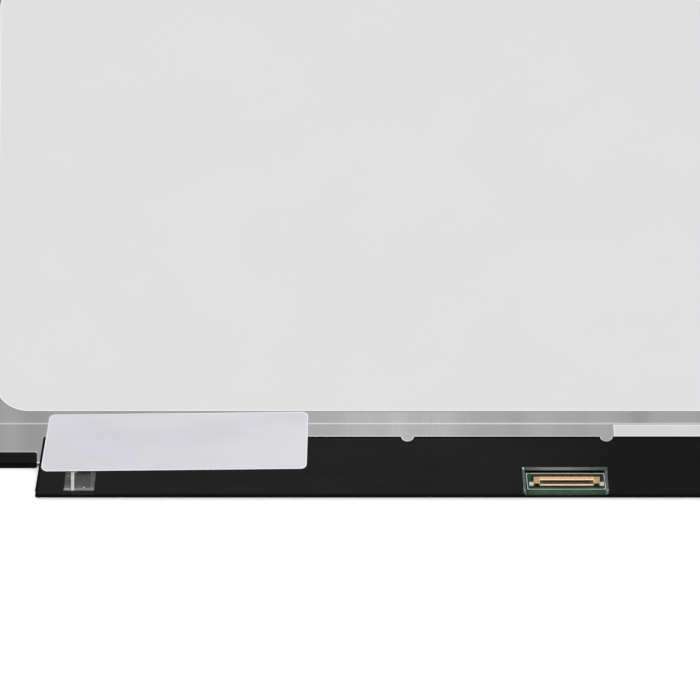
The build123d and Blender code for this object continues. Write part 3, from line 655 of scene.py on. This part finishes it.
def dress():
    """Gives every node of the frame its finish."""
    finishes = {
        brushed_metal(): ["rear_frame"],
        reflector_white(): ["reflector_sheet"],
        cover_black(): ["board_cover_film"],
        tape_black(): ["edge_tape_left", "edge_tape_right"],
        label_paper(): ["label"],
        clear_film(): ["connector_window_film"],
        smoky_film(): ["tail_window_film"],
        board_green(): ["circuit_board"],
        gold_shell(): ["connector_shell"],
        dark_glass(): ["front_polariser", "rear_polariser"],
        housing_cream(): ["connector_housing"],
        strip_light(): ["strip_tape"],
        plain("contact_gold", srgb(84, 58, 38), srgb(110, 80, 54), 0.6 * MM, 0.35, metallic=1.0):
            ["connector_contacts"],
        plain("solder", srgb(196, 198, 186), srgb(222, 224, 212), 0.8 * MM, 0.4, 0.5, 0.4, 0.01 * MM):
            ["connector_hold_downs"],
        plain("connector_cream", srgb(212, 208, 194), srgb(234, 230, 216), 2 * MM, 0.5, 0.4,
              grain=0.005 * MM):
            ["tail_connector"],
        plain("flex_brown", srgb(72, 65, 68), srgb(84, 77, 80), 5 * MM, 0.4, 0.4, grain=0.003 * MM):
            ["led_flex"],
        plain("driver_film", srgb(120, 84, 42), srgb(140, 100, 54), 6 * MM, 0.35, 0.5, grain=0.003 * MM):
            ["driver_films"],
        plain("mould_black", srgb(24, 24, 25), srgb(32, 32, 33), 10 * MM, 0.55, 0.35, grain=0.006 * MM):
            ["moulded_frame"],
        plain("adhesive_black", srgb(20, 20, 20), srgb(27, 27, 27), 5 * MM, 0.7, 0.2, grain=0.006 * MM):
            ["panel_tape"],
        plain("cell_glass", srgb(120, 132, 128), srgb(134, 146, 142), 60 * MM, 0.08, 0.5):
            ["colour_filter_glass", "array_glass"],
        plain("optic_sheet", srgb(214, 217, 219), srgb(224, 227, 229), 70 * MM, 0.45, 0.4,
              grain=0.002 * MM):
            ["upper_prism_sheet", "lower_prism_sheet", "diffuser_sheet"],
        plain("light_guide", srgb(206, 212, 212), srgb(218, 224, 224), 70 * MM, 0.15, 0.5):
            ["light_guide_plate"],
        plain("diode_white", srgb(222, 220, 204), srgb(234, 232, 216), 1 * MM, 0.5, 0.4):
            ["led_packages"],
        plain("silicon", srgb(62, 64, 72), srgb(78, 80, 88), 3 * MM, 0.25, 0.5, 0.5):
            ["driver_chips"],
        plain("chip_black", srgb(24, 24, 25), srgb(33, 33, 34), 2 * MM, 0.6, 0.35, grain=0.008 * MM):
            ["timing_controller", "power_chip", "backlight_driver_chip"],
        plain("ferrite", srgb(52, 50, 49), srgb(66, 64, 62), 1.5 * MM, 0.7, 0.3, grain=0.02 * MM):
            ["inductors"],
        plain("capacitor_tan", srgb(150, 124, 92), srgb(168, 142, 108), 1 * MM, 0.55, 0.4):
            ["capacitors"],
        plain("resistor_black", srgb(30, 30, 32), srgb(40, 40, 42), 1 * MM, 0.5, 0.4):
            ["resistors"],
    }
    for material, names in finishes.items():
        for name in names:
            nodes[name].data.materials.clear()
            nodes[name].data.materials.append(material)


def add_floor():
    """White floor that keeps the object's shadow, with a little light of its own for what looks at it."""
    mesh = bpy.data.meshes.new("floor")
    half = FLOOR_SIZE / 2
    corners = [(-half, -half), (half, -half), (half, half), (-half, half)]
    mesh.from_pydata([(x, y, -FLOOR_DROP) for x, y in corners], [], [(0, 1, 2, 3)])
    floor = bpy.data.objects.new("floor", mesh)
    bpy.context.scene.collection.objects.link(floor)
    finish = Finish("floor_white", roughness=0.9, specular=0.0)
    finish.colour(finish.mottle(finish.noise(30 * MM), srgb(244, 244, 244), srgb(246, 246, 246)))
    path = finish.node("ShaderNodeLightPath").outputs
    seen = finish.most(path["Is Camera Ray"], path["Is Glossy Ray"], path["Is Transmission Ray"])
    finish.shader.inputs["Emission Color"].default_value = (1, 1, 1, 1)
    finish.feed(finish.shader.inputs["Emission Strength"], finish.times(seen, FLOOR_GLOW))
    mesh.materials.append(finish.material)


def add_lamp(name, aim, offset, size, value):
    """A soft rectangular lamp that gives a white card at the aim, lying flat, a value of light."""
    light = bpy.data.lights.new(name, "AREA")
    light.shape = "RECTANGLE"
    light.size, light.size_y = size
    slant = abs(offset.normalized().z)
    light.energy = value * math.pi ** 2 * offset.length_squared / slant
    lamp = bpy.data.objects.new(name, light)
    lamp.location = aim + offset
    lamp.rotation_mode = "QUATERNION"
    lamp.rotation_quaternion = (-offset).to_track_quat("-Z", "Y")
    bpy.context.scene.collection.objects.link(lamp)


def add_world():
    """Even white light from all round."""
    world = bpy.data.worlds.new("studio")
    world.use_nodes = True
    background = world.node_tree.nodes["Background"]
    background.inputs["Color"].default_value = (1, 1, 1, 1)
    background.inputs["Strength"].default_value = WORLD_LIGHT
    bpy.context.scene.world = world


def add_camera():
    """The photograph's view; gives back the point on the part that it aims at."""
    body_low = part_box("rear_frame")[0]
    aim = Vector((body_low.x + AIM_FROM_LEFT, body_low.y + AIM_FROM_BODY_EDGE, AIM_HEIGHT))
    back = Vector((0, -math.cos(CAMERA_ELEVATION), math.sin(CAMERA_ELEVATION)))
    data = bpy.data.cameras.new("camera")
    data.sensor_width = SENSOR_WIDTH
    data.lens = PIXELS_PER_MM / MM * CAMERA_DISTANCE * SENSOR_WIDTH / IMAGE_WIDTH
    data.clip_start = CLIP_START
    data.clip_end = CLIP_END
    camera = bpy.data.objects.new("camera", data)
    camera.location = aim + back * CAMERA_DISTANCE
    camera.rotation_mode = "QUATERNION"
    camera.rotation_quaternion = (-back).to_track_quat("-Z", "Y")
    bpy.context.scene.collection.objects.link(camera)
    bpy.context.scene.camera = camera
    return aim


dress()
add_floor()
aim = add_camera()
add_world()
add_lamp("overhead", aim, OVERHEAD_PLACE, OVERHEAD_SIZE, OVERHEAD_LIGHT)
add_lamp("behind", aim, BEHIND_PLACE, BEHIND_SIZE, BEHIND_LIGHT)
bpy.context.scene.view_settings.view_transform = "Standard"
